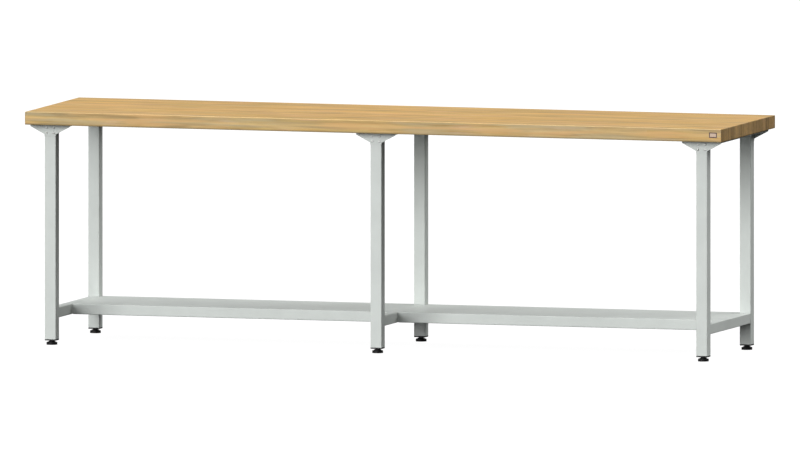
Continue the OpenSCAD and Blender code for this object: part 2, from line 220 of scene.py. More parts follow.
class LabelLook(bpy.types.PropertyGroup):
    """The small bare label on the worktop's front edge."""

    width: mm("Width", "Width of the label", 32)
    height: mm("Height", "Height of the label", 21)
    inset: mm("Inset", "From the worktop's right end", 17)
    drop: mm("Drop", "From the worktop's upper face", 12)
    thickness: mm("Thickness", "Thickness at the frame", 0.7)
    border: mm("Frame width", "Width of the printed frame", 3.9)
    frame_color: tint("Frame colour", "the frame", (0.070, 0.028, 0.018))
    field_color: tint("Field colour", "the bare field", (0.560, 0.410, 0.300))


class StageLook(bpy.types.PropertyGroup):
    """Camera, floor and light."""

    azimuth: angle("Azimuth", "Camera's angle to the right of the front", 17.21)
    elevation: angle("Elevation", "Camera's angle above the horizon", 4.76)
    view_width: length("View width", "Width that the camera takes in", 3.0733)
    aim_height: length("Aim height", "Height of the middle of the view", 0.468)
    distance: length("Distance", "Distance of the camera from there", 10.0)
    floor_size: length("Floor size", "Side of the square floor", 240.0)
    floor_glow: share("Floor glow", "Share of the floor that is lit evenly", 0.90)
    floor_light: amount("Floor light", "Strength of the floor's even light", 1.085)
    floor_color: tint("Floor colour", "the rest of the floor", (0.9, 0.9, 0.9))
    sky: amount("Sky", "Strength of the light from overhead", 1.135)
    horizon: amount("Horizon", "Strength of the light from just above the horizon", 0.203)
    below: amount("Below", "Strength of the light from below", 0.010)
    key: amount("Key light", "Strength of the light from the front left", 2.72)
    key_azimuth: angle("Key azimuth", "Key light's angle to the right of the front", -25)
    key_elevation: angle("Key elevation", "Key light's angle above the horizon", 15)
    key_spread: angle("Key spread", "Key light's angle from edge to edge", 40)
    rim: amount("Rim light", "Strength of the light from the back right", 1.301)
    rim_azimuth: angle("Rim azimuth", "Rim light's angle to the right of the front", 120)
    rim_elevation: angle("Rim elevation", "Rim light's angle above the horizon", 38)
    rim_spread: angle("Rim spread", "Rim light's angle from edge to edge", 40)


class WorkbenchLooks(bpy.types.PropertyGroup):
    """All that a user would change."""

    worktop: PointerProperty(type=WorktopLook)
    paint: PointerProperty(type=PaintLook)
    plastic: PointerProperty(type=PlasticLook)
    steel: PointerProperty(type=SteelLook)
    screws: PointerProperty(type=ScrewSizes)
    feet: PointerProperty(type=FootSizes)
    welds: PointerProperty(type=WeldSizes)
    label: PointerProperty(type=LabelLook)
    stage: PointerProperty(type=StageLook)


# Materials


def toned(color, *shares):
    """A colour times one share, or times a share for each of its parts."""
    shares = shares * 3 if len(shares) == 1 else shares
    return tuple(min(1.0, part * kept) for part, kept in zip(color, shares))


class Graph:
    """The nodes of one material, with a short call for each kind used here."""

    def __init__(self, name, tree=None):
        if tree is None:
            self.material = bpy.data.materials.new(name)
            self.material.use_nodes = True
            tree = self.material.node_tree
        self.tree = tree
        self.tree.nodes.clear()

    def node(self, kind, inputs=None, **settings):
        """A node with its settings, and values or links on its inputs."""
        made = self.tree.nodes.new("ShaderNode" + kind)
        for key, value in settings.items():
            setattr(made, key, value)
        for key, value in (inputs or {}).items():
            self.put(made.inputs[key], value)
        return made

    def first(self, kind, inputs, **settings):
        """The first output of such a node."""
        return self.node(kind, inputs, **settings).outputs[0]

    def put(self, socket, value):
        """Links a socket to an output, or sets its value."""
        if isinstance(value, bpy.types.NodeSocket):
            self.tree.links.new(value, socket)
        elif socket.type == "RGBA":
            socket.default_value = (*value, 1.0)
        else:
            socket.default_value = value

    def surface(self, **values):
        """The material's shader, with underscores for spaces in its sockets' names."""
        inputs = {key.replace("_", " "): value for key, value in values.items()}
        self.node("OutputMaterial", {"Surface": self.first("BsdfPrincipled", inputs)})

    def object_place(self):
        return self.node("TexCoord").outputs["Object"]

    def parts(self, vector):
        """The three numbers of a vector."""
        return self.node("SeparateXYZ", {"Vector": vector}).outputs[:]

    def vector(self, x, y, z):
        return self.first("CombineXYZ", {"X": x, "Y": y, "Z": z})

    def math(self, operation, a, b=0.0, c=0.0):
        return self.first("Math", {0: a, 1: b, 2: c}, operation=operation)

    def plus(self, a, b):
        return self.math("ADD", a, b)

    def minus(self, a, b):
        return self.math("SUBTRACT", a, b)

    def times(self, a, b):
        return self.math("MULTIPLY", a, b)

    def ramp(self, value, low, high, to_low=0.0, to_high=1.0):
        """A smooth step of value from low to high."""
        inputs = {
            "Value": value, "From Min": low, "From Max": high, "To Min": to_low, "To Max": to_high,
        }
        return self.first("MapRange", inputs, interpolation_type="SMOOTHSTEP")

    def scaled(self, vector, scale, shift=(0.0, 0.0, 0.0)):
        return self.first("Mapping", {"Vector": vector, "Scale": scale, "Location": shift})

    def moved(self, vector, shift, times):
        """A vector moved by so many times another."""
        way = self.first("VectorMath", {0: shift, "Scale": times}, operation="SCALE")
        return self.first("VectorMath", {0: vector, 1: way}, operation="ADD")

    def noise(self, vector, scale=1.0, detail=2.0, roughness=0.5, distortion=0.0):
        inputs = {
            "Vector": vector, "Scale": scale, "Detail": detail,
            "Roughness": roughness, "Distortion": distortion,
        }
        return self.first("TexNoise", inputs)

    def grain(self, vector, along, across, shift=(0.0, 0.0, 0.0), **settings):
        """Noise drawn out along X, with so many swings a metre along the grain and across it."""
        return self.noise(self.scaled(vector, (along, across, across), shift), **settings)

    def random(self, vector):
        """A random number and colour for each cell."""
        return self.node("TexWhiteNoise", {"Vector": vector}, noise_dimensions="3D").outputs[:]

    def blend(self, factor, a, b, kind="MIX"):
        """A colour between a and b. The node's colours are inputs 6 and 7, and output 2."""
        made = self.node("Mix", data_type="RGBA", blend_type=kind)
        for socket, value in ((0, factor), (6, a), (7, b)):
            self.put(made.inputs[socket], value)
        return made.outputs[2]

    def tones(self, value, colors, kind="LINEAR"):
        """A colour picked from several, spread evenly over 0 to 1."""
        made = self.node("ValToRGB", {"Fac": value})
        stops = made.color_ramp.elements
        made.color_ramp.interpolation = kind
        while len(stops) < len(colors):
            stops.new(0.5)
        last = len(colors) - 1 if kind == "LINEAR" else len(colors)
        for number, color in enumerate(colors):
            stops[number].position = number / last
            stops[number].color = (*color, 1.0)
        return made.outputs["Color"]

    def bump(self, height, depth):
        """A bump whose height of 1 stands for depth metres."""
        return self.first("Bump", {"Height": height, "Distance": depth, "Strength": 1.0})


def glued_beech(look):
    """Staves across the depth, each finger-jointed from pieces of its own tone. The rings of a
    piece run about a heart line beside it, so they show as fine lines on the top and the ends."""
    g = Graph("glued beech")
    light, golden, orange = look.light, look.golden, look.orange
    pink, olive, dark = look.pink, look.olive, look.dark
    edge, top, bottom = look.edge, TOP_HIGH.z, TOP_LOW.z
    half_length = (TOP_HIGH.x - TOP_LOW.x) / 2
    half_depth = (TOP_HIGH.y - TOP_LOW.y) / 2
    stave_width = 2 * half_depth / look.staves
    place = g.object_place()
    x, y, z = g.parts(place)
    off_x, off_y = g.math("ABSOLUTE", x), g.math("ABSOLUTE", y)

    # Each stave and each piece has a random colour, whose parts move and vary its patterns
    across = g.math("DIVIDE", g.plus(y, half_depth), stave_width)
    stave = g.math("FLOOR", across)
    _, stave_color = g.random(g.vector(stave, 0.5, 0.5))
    stave_red, stave_green, stave_blue = g.parts(stave_color)
    teeth = g.math("PINGPONG", y, look.finger_pitch / 2)
    teeth = g.times(teeth, 2 * look.finger_depth / look.finger_pitch)
    shortest, spread, stagger = 0.7 * look.piece_length, 0.6 * look.piece_length, 9.0
    piece_length = g.math("MULTIPLY_ADD", stave_red, spread, shortest)
    along = g.math("DIVIDE", g.plus(x, teeth), piece_length)
    along = g.plus(along, g.times(stave_green, stagger))
    piece_random, piece_color = g.random(g.vector(stave, g.math("FLOOR", along), 2.5))
    piece_red, piece_green, _ = g.parts(piece_color)
    in_piece = g.moved(place, piece_color, 11.0)
    in_stave = g.moved(place, stave_color, 5.0)

    # Growth rings about a heart line beside the piece, which wanders gently along it
    beside, beside_spread, wander = 0.5, 0.10, 0.05
    below, rise = 0.055, 0.16
    unevenness = 1.6
    heart_y = g.math("MULTIPLY_ADD", stave, stave_width, -half_depth)
    heart_y = g.plus(heart_y, g.math("MULTIPLY_ADD", piece_red, beside_spread, beside))
    heart_y = g.plus(heart_y, g.times(g.grain(in_piece, 1.6, 2.0, detail=1.0), wander))
    heart_z = g.math("MULTIPLY_ADD", piece_green, rise, bottom - below)
    out_y, out_z = g.minus(y, heart_y), g.minus(z, heart_z)
    radius = g.math("SQRT", g.plus(g.times(out_y, out_y), g.times(out_z, out_z)))
    uneven = g.times(g.grain(in_piece, 3.0, 60.0, detail=3.0), unevenness)
    rings = g.plus(g.math("DIVIDE", radius, look.ring_spacing), uneven)
    late = g.ramp(g.math("PINGPONG", rings, 0.5), 0.10, 0.46)

    # Streaks of colour run on through the finger joints, while finer ones stop there
    bands = g.grain(in_stave, 0.9, 48.0, detail=1.0, distortion=0.35)
    lines = g.grain(in_stave, 4.5, 105.0, (3.0, 1.0, 2.0), roughness=0.6)
    flush = g.grain(in_stave, 2.6, 42.0, (7.0, 5.0, 4.0))
    blush = g.grain(in_stave, 5.0, 60.0, (2.0, 9.0, 6.0), detail=1.0)
    hue = g.grain(in_stave, 2.8, 58.0, (9.0, 3.0, 8.0), detail=1.5, roughness=0.6)
    pores = g.grain(in_piece, 5.0, 420.0, detail=3.0, roughness=0.6)
    flecks = g.grain(in_piece, 260.0, 1500.0, detail=0.0)
    cloud = g.grain(in_piece, 3.5, 9.0)

    palette = (golden, orange, light, golden, pink, golden, olive, orange)
    palette_share = 0.28
    tone = g.blend(palette_share, golden, g.tones(piece_random, palette, "CONSTANT"))
    # Laid over each other: a pattern, its step's ends, the colour's share at both ends, the colour
    for pattern, start, stop, at_start, at_stop, color in (
        (cloud, 0.45, 0.75, 0.0, 0.40, golden),
        (bands, 0.46, 0.72, 0.0, 0.80, dark),
        (bands, 0.28, 0.50, 0.80, 0.0, light),
        (flush, 0.50, 0.62, 0.0, 0.55, orange),
        (flush, 0.38, 0.50, 0.70, 0.0, olive),
        (blush, 0.56, 0.68, 0.0, 0.60, pink),
        (lines, 0.48, 0.70, 0.0, 0.70, dark),
        (lines, 0.30, 0.48, 0.60, 0.0, light),
        (late, 0.0, 1.0, 0.0, 0.16, look.late),
        (pores, 0.50, 0.80, 0.0, 0.30, look.pore),
        (flecks, 0.66, 0.74, 0.0, 0.35, look.fleck),
    ):
        tone = g.blend(g.ramp(pattern, start, stop, at_start, at_stop), tone, color)

    # Glue lines between staves and at the piece ends
    from_joint = g.times(g.math("PINGPONG", across, 0.5), stave_width)
    from_end = g.times(g.math("PINGPONG", along, 0.5), piece_length)
    side_glue = g.ramp(from_joint, 0.05 * MM, 0.45 * MM, 1.0, 0.0)
    end_glue = g.ramp(from_end, 0.05 * MM, 0.35 * MM, 1.0, 0.0)
    glue, glue_share = g.math("MAXIMUM", side_glue, end_glue), 0.30
    tone = g.blend(g.times(glue, glue_share), tone, look.glue)

    # Painted highlight: the upper arrises, front and back, are paler
    at_side = g.ramp(off_y, half_depth - 2.2 * edge, half_depth - 0.2 * edge)
    at_top = g.ramp(z, top - edge, top - 0.2 * edge, 0.0, 0.80)
    tone = g.blend(g.times(at_side, at_top), tone, look.arris_highlight)

    # Painted shade: the top face's colour is multiplied by a darker, warmer tint that stands in
    # for the light falling on the top
    on_top = g.ramp(z, top - 0.5 * edge, top - 0.05 * edge)
    on_top = g.times(on_top, g.ramp(off_y, half_depth - 0.6 * edge, half_depth - edge))
    tone = g.blend(on_top, tone, g.blend(1.0, tone, look.top_painted_shade, "MULTIPLY"))

    # The long faces are palest along a line, deeper just under the arris, and more varied in hue
    on_front = g.ramp(off_y, half_depth - 0.4 * edge, half_depth - 0.1 * edge)
    pale_line = bottom + 27 * MM
    from_line = g.math("ABSOLUTE", g.minus(z, pale_line))
    paler = g.ramp(from_line, 2 * MM, 13 * MM, 0.30, 0.0)
    deeper = g.ramp(z, top - 15 * MM, top - 8 * MM, 0.0, 0.30)
    deeper = g.times(deeper, g.ramp(z, top - 4 * MM, top - 1.5 * MM, 1.0, 0.0))
    warmer = g.ramp(hue, 0.52, 0.64, 0.0, 0.60)
    cooler = g.ramp(hue, 0.36, 0.48, 0.60, 0.0)
    for factor, color in (
        (paler, light), (deeper, dark), (warmer, look.warm), (cooler, look.cool),
    ):
        tone = g.blend(g.times(on_front, factor), tone, color)

    # Painted shade along the lower arris, which faces down
    low_edge_painted_shade = g.ramp(z, bottom + 1.2 * edge, bottom + 3.4 * edge, 0.85, 0.0)
    tone = g.blend(low_edge_painted_shade, tone, toned(dark, 0.75))

    # End grain drinks more oil, most of all at its joints and rays, and is a little redder
    on_end = g.ramp(off_x, half_length - 0.7 * edge, half_length - 0.2 * edge)
    rays = g.noise(g.scaled(in_piece, (9.0, 900.0, 60.0)))
    rays = g.ramp(rays, 0.45, 0.75)
    joints = g.ramp(from_joint, 0.3 * MM, 1.4 * MM, 1.0, 0.0)
    shade = g.math("MULTIPLY_ADD", stave_blue, 0.20, look.end_shade - 0.09)
    for pattern, loss in ((late, 0.10), (rays, 0.10), (joints, 0.16)):
        shade = g.minus(shade, g.times(pattern, loss))
    upright = g.noise(g.scaled(place, (0.0, 95.0, 2.0)), roughness=0.7)
    shade = g.times(shade, g.ramp(upright, 0.36, 0.64, 0.80, 1.20))
    shades = g.vector(shade, g.times(shade, 0.88), g.times(shade, 0.93))
    plain_share = 0.55
    end_tone = g.blend(1.0, g.blend(plain_share, tone, golden), shades, "MULTIPLY")
    tone = g.blend(on_end, tone, end_tone)

    pore_height, fleck_height, glue_depth = 0.5, 0.5, 1.2
    height = g.plus(g.times(pores, pore_height), g.times(flecks, fleck_height))
    height = g.minus(height, g.times(glue, glue_depth))
    g.surface(
        Base_Color=tone,
        Roughness=g.ramp(bands, 0.3, 0.7, look.roughness - 0.05, look.roughness + 0.07),
        Specular_IOR_Level=0.16,
        Normal=g.bump(height, 0.05 * MM),
    )
    return g.material


def powder_coat(look):
    """A satin coat with the fine uneven skin of powder, painted shade in the skin's low spots, and
    a very faint mottle.
    """
    g = Graph("light grey powder coat")
    place = g.object_place()
    skin = g.noise(place, scale=1 / look.grain, roughness=0.55)
    roll = g.noise(place, scale=0.16 / look.grain, detail=1.0)
    mottle = g.noise(place, scale=7.0, detail=3.0, roughness=0.6)
    color = look.color
    shades = (toned(color, 0.965), color, toned(color, 1.03))
    tone = g.tones(g.ramp(mottle, 0.3, 0.7), shades)
    # Painted shade: the skin's low spots are a little darker
    tone = g.blend(g.ramp(skin, 0.35, 0.65, 0.07, 0.0), tone, toned(color, 0.8))
    roll_height = 1.4
    g.surface(
        Base_Color=tone,
        Roughness=g.ramp(skin, 0.3, 0.7, look.roughness - 0.05, look.roughness + 0.06),
        Specular_IOR_Level=0.45,
        Normal=g.bump(g.plus(skin, g.times(roll, roll_height)), look.depth),
    )
    return g.material


def moulded_plastic(look):
    """Black plastic with an eroded mould texture, whose high spots carry a painted highlight a
    shade greyer.
    """
    g = Graph("black moulded plastic")
    place = g.object_place()
    skin = g.noise(place, scale=1 / look.grain, detail=3.0, roughness=0.6)
    flow = g.noise(g.scaled(place, (40.0, 40.0, 120.0)), distortion=0.4)
    color = look.color
    # Painted highlight: the texture's high spots are greyer
    tone = g.blend(g.ramp(skin, 0.50, 0.72, 0.0, 0.7), color, toned(color, 2.2))
    tone = g.blend(g.ramp(flow, 0.45, 0.75, 0.0, 0.35), tone, toned(color, 1.7))
    g.surface(
        Base_Color=tone,
        Roughness=g.ramp(flow, 0.3, 0.7, look.roughness - 0.06, look.roughness + 0.08),
        Specular_IOR_Level=0.25,
        Normal=g.bump(skin, look.depth),
    )
    return g.material


def bright_zinc(look):
    return zinc_plate("bright zinc plate", look.color, look)


def black_zinc(look):
    return zinc_plate("black zinc plate", look.black, look)


def zinc_plate(name, base, look):
    """Plated steel with faint bluish and straw clouds, and fine turning marks round Z."""
    g = Graph(name)
    place = g.object_place()
    cloud = g.noise(place, scale=1 / look.grain, detail=3.0, roughness=0.6)
    marks = g.noise(g.scaled(place, (90.0, 90.0, 2600.0)), detail=1.0)
    shades = (toned(base, 0.91, 0.94, 0.97), base, toned(base, 1.0, 0.965, 0.88))
    g.surface(
        Base_Color=g.tones(g.ramp(cloud, 0.3, 0.7), shades),
        Metallic=1.0,
        Roughness=g.ramp(cloud, 0.3, 0.7, look.roughness - 0.07, look.roughness + 0.08),
        Normal=g.bump(marks, 0.012 * MM),
    )
    return g.material


def label_print(look, middle):
    """A printed frame round a bare field, by the distance from the label's edge."""
    g = Graph("printed label")
    place = g.object_place()
    x, _, z = g.parts(place)
    over_x = g.minus(g.math("ABSOLUTE", g.minus(x, middle.x)), look.width / 2)
    over_z = g.minus(g.math("ABSOLUTE", g.minus(z, middle.z)), look.height / 2)
    inside = g.times(g.math("MAXIMUM", over_x, over_z), -1.0)
    in_field = g.ramp(inside, look.border - 0.05 * MM, look.border + 0.05 * MM)
    fibre = g.noise(g.scaled(place, (500.0, 500.0, 900.0)))
    field, border = look.field_color, look.frame_color
    pale = g.blend(g.ramp(fibre, 0.4, 0.7, 0.0, 0.35), field, toned(field, 0.86))
    deep = g.blend(g.ramp(fibre, 0.4, 0.7, 0.0, 0.5), border, toned(border, 1.5))
    g.surface(
        Base_Color=g.blend(in_field, deep, pale),
        Roughness=g.ramp(fibre, 0.3, 0.7, 0.32, 0.42),
        Specular_IOR_Level=0.5,
        Normal=g.bump(fibre, 0.01 * MM),
    )
    return g.material


def named_material(name, make, look):
    """The material of that name, made if it isn't there yet."""
    return bpy.data.materials.get(name) or make(look)


def finish(names, material):
    """Gives a material to CAD nodes."""
    for name in names:
        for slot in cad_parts[name].material_slots:
            slot.material = material


# Meshes. A solid is a pair: its points, and a list of arrays of faces.


def circle(around):
    """Angles of the points round a ring."""
    return np.arange(around) * 2 * np.pi / around


def hexagon(across_flats, around):
    """Radius of a hexagon at each angle: half its width over the cosine from the nearest flat."""
    turn = np.mod(circle(around), np.pi / 3) - np.pi / 6
    return across_flats / 2 / np.cos(turn)


def ring_points(radius, height, around):
    """Rings about Z: (rows, around) radii and a height a row give (rows, around, 3) points."""
    turn = circle(around)
    radius = np.broadcast_to(radius, (len(height), around))
    level = np.broadcast_to(np.asarray(height)[:, None], radius.shape)
    return np.stack([radius * np.cos(turn), radius * np.sin(turn), level], -1)


def profile_rings(profile, around):
    """Rings about Z from a profile of (radius, height) pairs."""
    radius, height = np.array(profile).T
    return ring_points(radius[:, None], height, around)


def row_quads(rows, around, bands):
    """Quads from each of a grid's first rows to the next, round rows that close on themselves."""
    row, column = np.meshgrid(np.arange(bands), np.arange(around), indexing="ij")
    here, after, beside = row * around, (row + 1) % rows * around, (column + 1) % around
    corners = [here + column, here + beside, after + beside, after + column]
    return np.stack(corners, -1).reshape(-1, 4)


def closed_solid(rings):
    """A solid whose surface is a pile of rings, closed by a pole at each end. The faces look
    outwards when the rings turn anticlockwise about the way that they climb on the outside."""
    rows, around = rings.shape[:2]
    poles = np.stack([rings[0].mean(0), rings[-1].mean(0)])
    points = np.concatenate([rings.reshape(-1, 3), poles])
    here = np.arange(around)
    there = (here + 1) % around
    top, first, last = (rows - 1) * around, rows * around, rows * around + 1
    start = np.stack([there, here, np.full(around, first)], -1)
    end = np.stack([top + here, top + there, np.full(around, last)], -1)
    return points, [row_quads(rows, around, rows - 1), np.concatenate([start, end])]


def closed_loop(grid):
    """A solid whose surface closes on itself both ways, as a bead round a tube does. The faces
    look outwards when steps along a row, to the next row and outwards are right-handed."""
    rows, around = grid.shape[:2]
    return grid.reshape(-1, 3), [row_quads(rows, around, rows)]


def repeated(solid, turns, shifts):
    """Copies of a solid, each turned by its 3 by 3 matrix and then moved."""
    points, faces = solid
    count = len(shifts)
    turned = np.einsum("kij,nj->kni", np.broadcast_to(turns, (count, 3, 3)), points)
    placed = turned + np.asarray(shifts)[:, None]
    offsets = (np.arange(count) * len(points))[:, None, None]
    return placed.reshape(-1, 3), [(part + offsets).reshape(-1, part.shape[1]) for part in faces]


def linked(name, data):
    """A new object in the scene."""
    made = bpy.data.objects.new(name, data)
    bpy.context.scene.collection.objects.link(made)
    return made


def add_piece(name, solid, material, body, replaced=(), sharp=35):
    """A new mesh at the origin that rides on a body."""
    points, faces = solid
    mesh = bpy.data.meshes.new(name)
    mesh.from_pydata(points.tolist(), [], [face for part in faces for face in part.tolist()])
    mesh.shade_smooth()
    mesh.set_sharp_from_angle(angle=math.radians(sharp))
    mesh.materials.append(material)
    piece = linked(name, mesh)
    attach(piece, body)
    if replaced:
        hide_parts(*replaced)


def thread_rings(low, high, outer, depth, pitch, around):
    """Rings of a thread: a blunt ridge on its radius climbs one pitch a turn, and fades out over
    a pitch at both ends."""
    rows_a_turn, steepness, root = 6, 1.5, 0.2
    height = np.arange(low, high, pitch / rows_a_turn)[1:]
    turn = np.mod(height[:, None] / pitch - circle(around) / (2 * np.pi), 1.0)
    ridge = np.clip(steepness * (1 - np.abs(2 * turn - 1)) - root, 0.0, 1.0)
    from_end = np.minimum(height - height[0], height[-1] - height) / pitch
    radius = outer - depth + depth * ridge * np.clip(from_end, 0.0, 1.0)[:, None]
    return ring_points(radius, height, around)


def button_screw(d, long, pitch, point=0.0, around=36):
    """A button head screw that points up, with its seat at 0. Its rings run from the floor of the
    hexagon socket out over the head, an arc of an ellipse, in under it and along the thread."""
    head_r, head_h, land_r = 0.95 * d, 0.55 * d, 0.52 * d
    socket = hexagon(0.6 * d, around)
    socket_depth, chamfer = 0.35 * d, 0.05 * d
    top, dome_rings = math.acos(land_r / head_r), 9
    dome = np.linspace(top, 0.0, dome_rings)
    dome_r = head_r * np.cos(dome)
    dome_z = -head_h + (head_h - chamfer) * (1 - np.sin(dome) / math.sin(top))
    tip = max(point, 0.1 * d)
    depth, end_r = (0.16 * d, 0.08 * d) if point else (0.09 * d, 0.38 * d)
    return closed_solid(np.concatenate([
        ring_points(socket, [-head_h + socket_depth, -head_h + chamfer], around),
        ring_points(socket + chamfer, [-head_h], around),
        ring_points(dome_r[:, None], dome_z, around),
        profile_rings([(head_r, 0.0), (0.5 * d, 0.0)], around),
        thread_rings(0.0, long - tip, d / 2, depth, pitch, around),
        profile_rings([(0.5 * d - depth, long - tip), (end_r, long)], around),
    ]))


def levelling_pad(size, pad_r, neck_top):
    """A pad about Z, in rings: underside, fluted rim, rounded shoulder, tapered neck, and down
    into the spindle's socket. A flute is a cosine dip in the rim's radius."""
    around, steps = 6 * size.grips, 7
    foot_edge, fillet = 0.6 * MM, 0.8 * MM
    low, high = size.pad_h - size.pad_rim, size.pad_h
    flute = size.grip_depth * (0.5 - 0.5 * np.cos(size.grips * circle(around)))
    fade = np.sin(np.linspace(0.0, np.pi, steps))[:, None] ** 0.5
    shoulder = np.linspace(0.0, np.pi / 2, steps)[1:]
    shoulder_r = pad_r - size.pad_rim + size.pad_rim * np.cos(shoulder)
    neck_r, neck_top_r = size.neck_d / 2, size.neck_top_d / 2
    bore_r, bead_r = size.journal_d / 2 + size.play, size.bead_d / 2 + size.play
    bead_top = size.floor + size.bead_h + size.play
    return closed_solid(np.concatenate([
        profile_rings([(0.4 * pad_r, 0.0), (pad_r - foot_edge, 0.0)], around),
        ring_points(pad_r - flute * fade, np.linspace(foot_edge, low, steps), around),
        ring_points(shoulder_r[:, None], low + size.pad_rim * np.sin(shoulder), around),
        profile_rings([
            (neck_r + fillet, high), (neck_r + 0.25 * fillet, high + 0.25 * fillet),
            (neck_r - 0.1 * fillet, high + fillet),
            (neck_top_r + 0.3 * fillet, neck_top - 0.8 * fillet),
            (neck_top_r, neck_top - 0.3 * fillet), (neck_top_r - 0.6 * fillet, neck_top),
            (bore_r + 0.3 * fillet, neck_top), (bore_r, neck_top - 0.3 * fillet),
            (bore_r, bead_top), (bead_r, bead_top),
            (bead_r, size.floor), (0.5 * bead_r, size.floor),
        ], around),
    ]))


def levelling_spindle(size, neck_top, top, around=36):
    """A spindle about Z, in rings: bead, journal, chamfered hexagon and threaded stem. A cone cuts
    the hexagon's corners above and below."""
    chamfer, cone_start, cone_slope = 0.4 * MM, 0.985, math.tan(math.radians(30))
    bead_r, journal_r, stem_r = size.bead_d / 2, size.journal_d / 2, size.thread_d / 2
    low, bead_top = size.floor, size.floor + size.bead_h
    hex_top = neck_top + size.hex_h
    steps = np.array([0.0, 0.25, 0.5, 0.8]) * MM
    hex_z = np.concatenate([neck_top + steps, (hex_top - steps)[::-1]])
    from_face = np.minimum(hex_z - neck_top, hex_top - hex_z)
    cone = 0.5 * size.hex_af * cone_start + from_face / cone_slope
    stem_end = top - size.tip
    depth = 0.55 * size.pitch
    return closed_solid(np.concatenate([
        profile_rings([
            (0.5 * bead_r, low), (bead_r - chamfer, low), (bead_r, low + chamfer),
            (bead_r, bead_top - chamfer), (bead_r - chamfer, bead_top),
            (journal_r, bead_top), (journal_r, neck_top),
        ], around),
        ring_points(np.minimum(hexagon(size.hex_af, around), cone[:, None]), hex_z, around),
        thread_rings(hex_top, stem_end, stem_r, depth, size.pitch, around),
        profile_rings([(stem_r - depth, stem_end), (stem_r - size.tip, top)], around),
    ]))


def weld_seam(size, bar, leg_w):
    """A rippled fillet bead round a square tube that ends on a leg. The path is the tube's rounded
    square. Across it the bead is a flattened quarter circle, powers of a cosine and a sine, from
    the tube's side to the leg's face, which curves away past its flat. Ripples come from a sine
    of the distance along the path."""
    ripple_share, ripple_steps, drift_share, drift_waves, fullness = 0.05, 5, 0.06, 7, 1.2
    tuck, sink = -0.06, 0.03 * MM
    half, r = bar / 2, size.bar_radius
    flat = 2 * (half - r)
    side = flat + r * np.pi / 2
    steps = int(4 * side / size.ripple) * ripple_steps
    s = np.arange(steps) * 4 * side / steps
    quarter, t = np.divmod(s, side)
    bend = np.clip((t - flat) / r, 0.0, np.pi / 2)
    ahead = np.minimum(t, flat) - flat / 2 + r * np.sin(bend)
    out = half - r + r * np.cos(bend)
    turn = -np.pi / 2 * quarter
    across_x = out * np.cos(turn) + ahead * np.sin(turn)
    across_z = out * np.sin(turn) - ahead * np.cos(turn)
    facing = turn - bend
    normal_x, normal_z = np.cos(facing), np.sin(facing)
    wide = size.side_bead + (size.bead - size.side_bead) * np.abs(normal_z) ** 2
    ripples = ripple_share * np.sin(2 * np.pi * s / size.ripple)
    wide = wide * (1 + ripples + drift_share * np.sin(drift_waves * np.pi * s / side))
    v = np.linspace(0.0, np.pi / 2, 7)
    away = np.concatenate([np.cos(v) ** fullness, [tuck]])[:, None]
    along = np.concatenate([np.sin(v) ** fullness, [tuck]])[:, None]
    x = across_x + normal_x * wide * away
    z = across_z + normal_z * wide * away
    past = np.clip(np.abs(x) - (leg_w / 2 - size.leg_radius), 0.0, size.leg_radius)
    drop = size.leg_radius - np.sqrt(size.leg_radius ** 2 - past ** 2)
    y = wide * along - drop * (1 - np.clip(along, 0.0, 1.0)) - sink
    return closed_loop(np.stack([x, y, z], -1).transpose(1, 0, 2)[::-1])


def rounded_plate(width, height, steps, radius, around=48):
    """A plate that lies in X and Y, in rings: each step is (inset, level), and its ring is a
    circle whose quarters are moved apart, a rectangle with round corners."""
    turn = circle(around)
    least = 0.15 * MM
    rings = []
    for inset, level in steps:
        r = max(radius - inset, least)
        half_w, half_h = width / 2 - inset - r, height / 2 - inset - r
        x = np.sign(np.cos(turn)) * half_w + r * np.cos(turn)
        y = np.sign(np.sin(turn)) * half_h + r * np.sin(turn)
        rings.append(np.stack([x, y, np.full(around, level)], -1))
    return closed_solid(np.array(rings))


# Operators


class BENCH_OT_dress_worktop(bpy.types.Operator):
    """Give the worktop its glued beech"""

    bl_idname = "bench.dress_worktop"
    bl_label = "Dress Worktop"

    def execute(self, context):
        finish(["worktop"], glued_beech(context.scene.workbench.worktop))
        return {"FINISHED"}


class BENCH_OT_paint_frames(bpy.types.Operator):
    """Powder coat the legs, crossbars, brackets and shelves"""

    bl_idname = "bench.paint_frames"
    bl_label = "Paint Frames and Shelves"

    def execute(self, context):
        starts = ("leg_", "crossbar_", "top_bracket_", "shelf_")
        painted = [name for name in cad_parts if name.startswith(starts)]
        painted.remove("shelf_screws")
        finish(painted, powder_coat(context.scene.workbench.paint))
        return {"FINISHED"}


class BENCH_OT_finish_small_parts(bpy.types.Operator):
    """Give the end caps their plastic and the nuts their zinc"""

    bl_idname = "bench.finish_small_parts"
    bl_label = "Finish End Caps and Nuts"

    def execute(self, context):
        looks = context.scene.workbench
        finish([f"end_cap_{foot}" for foot in FEET], moulded_plastic(looks.plastic))
        finish(["foot_nuts", "bracket_nuts"], bright_zinc(looks.steel))
        return {"FINISHED"}


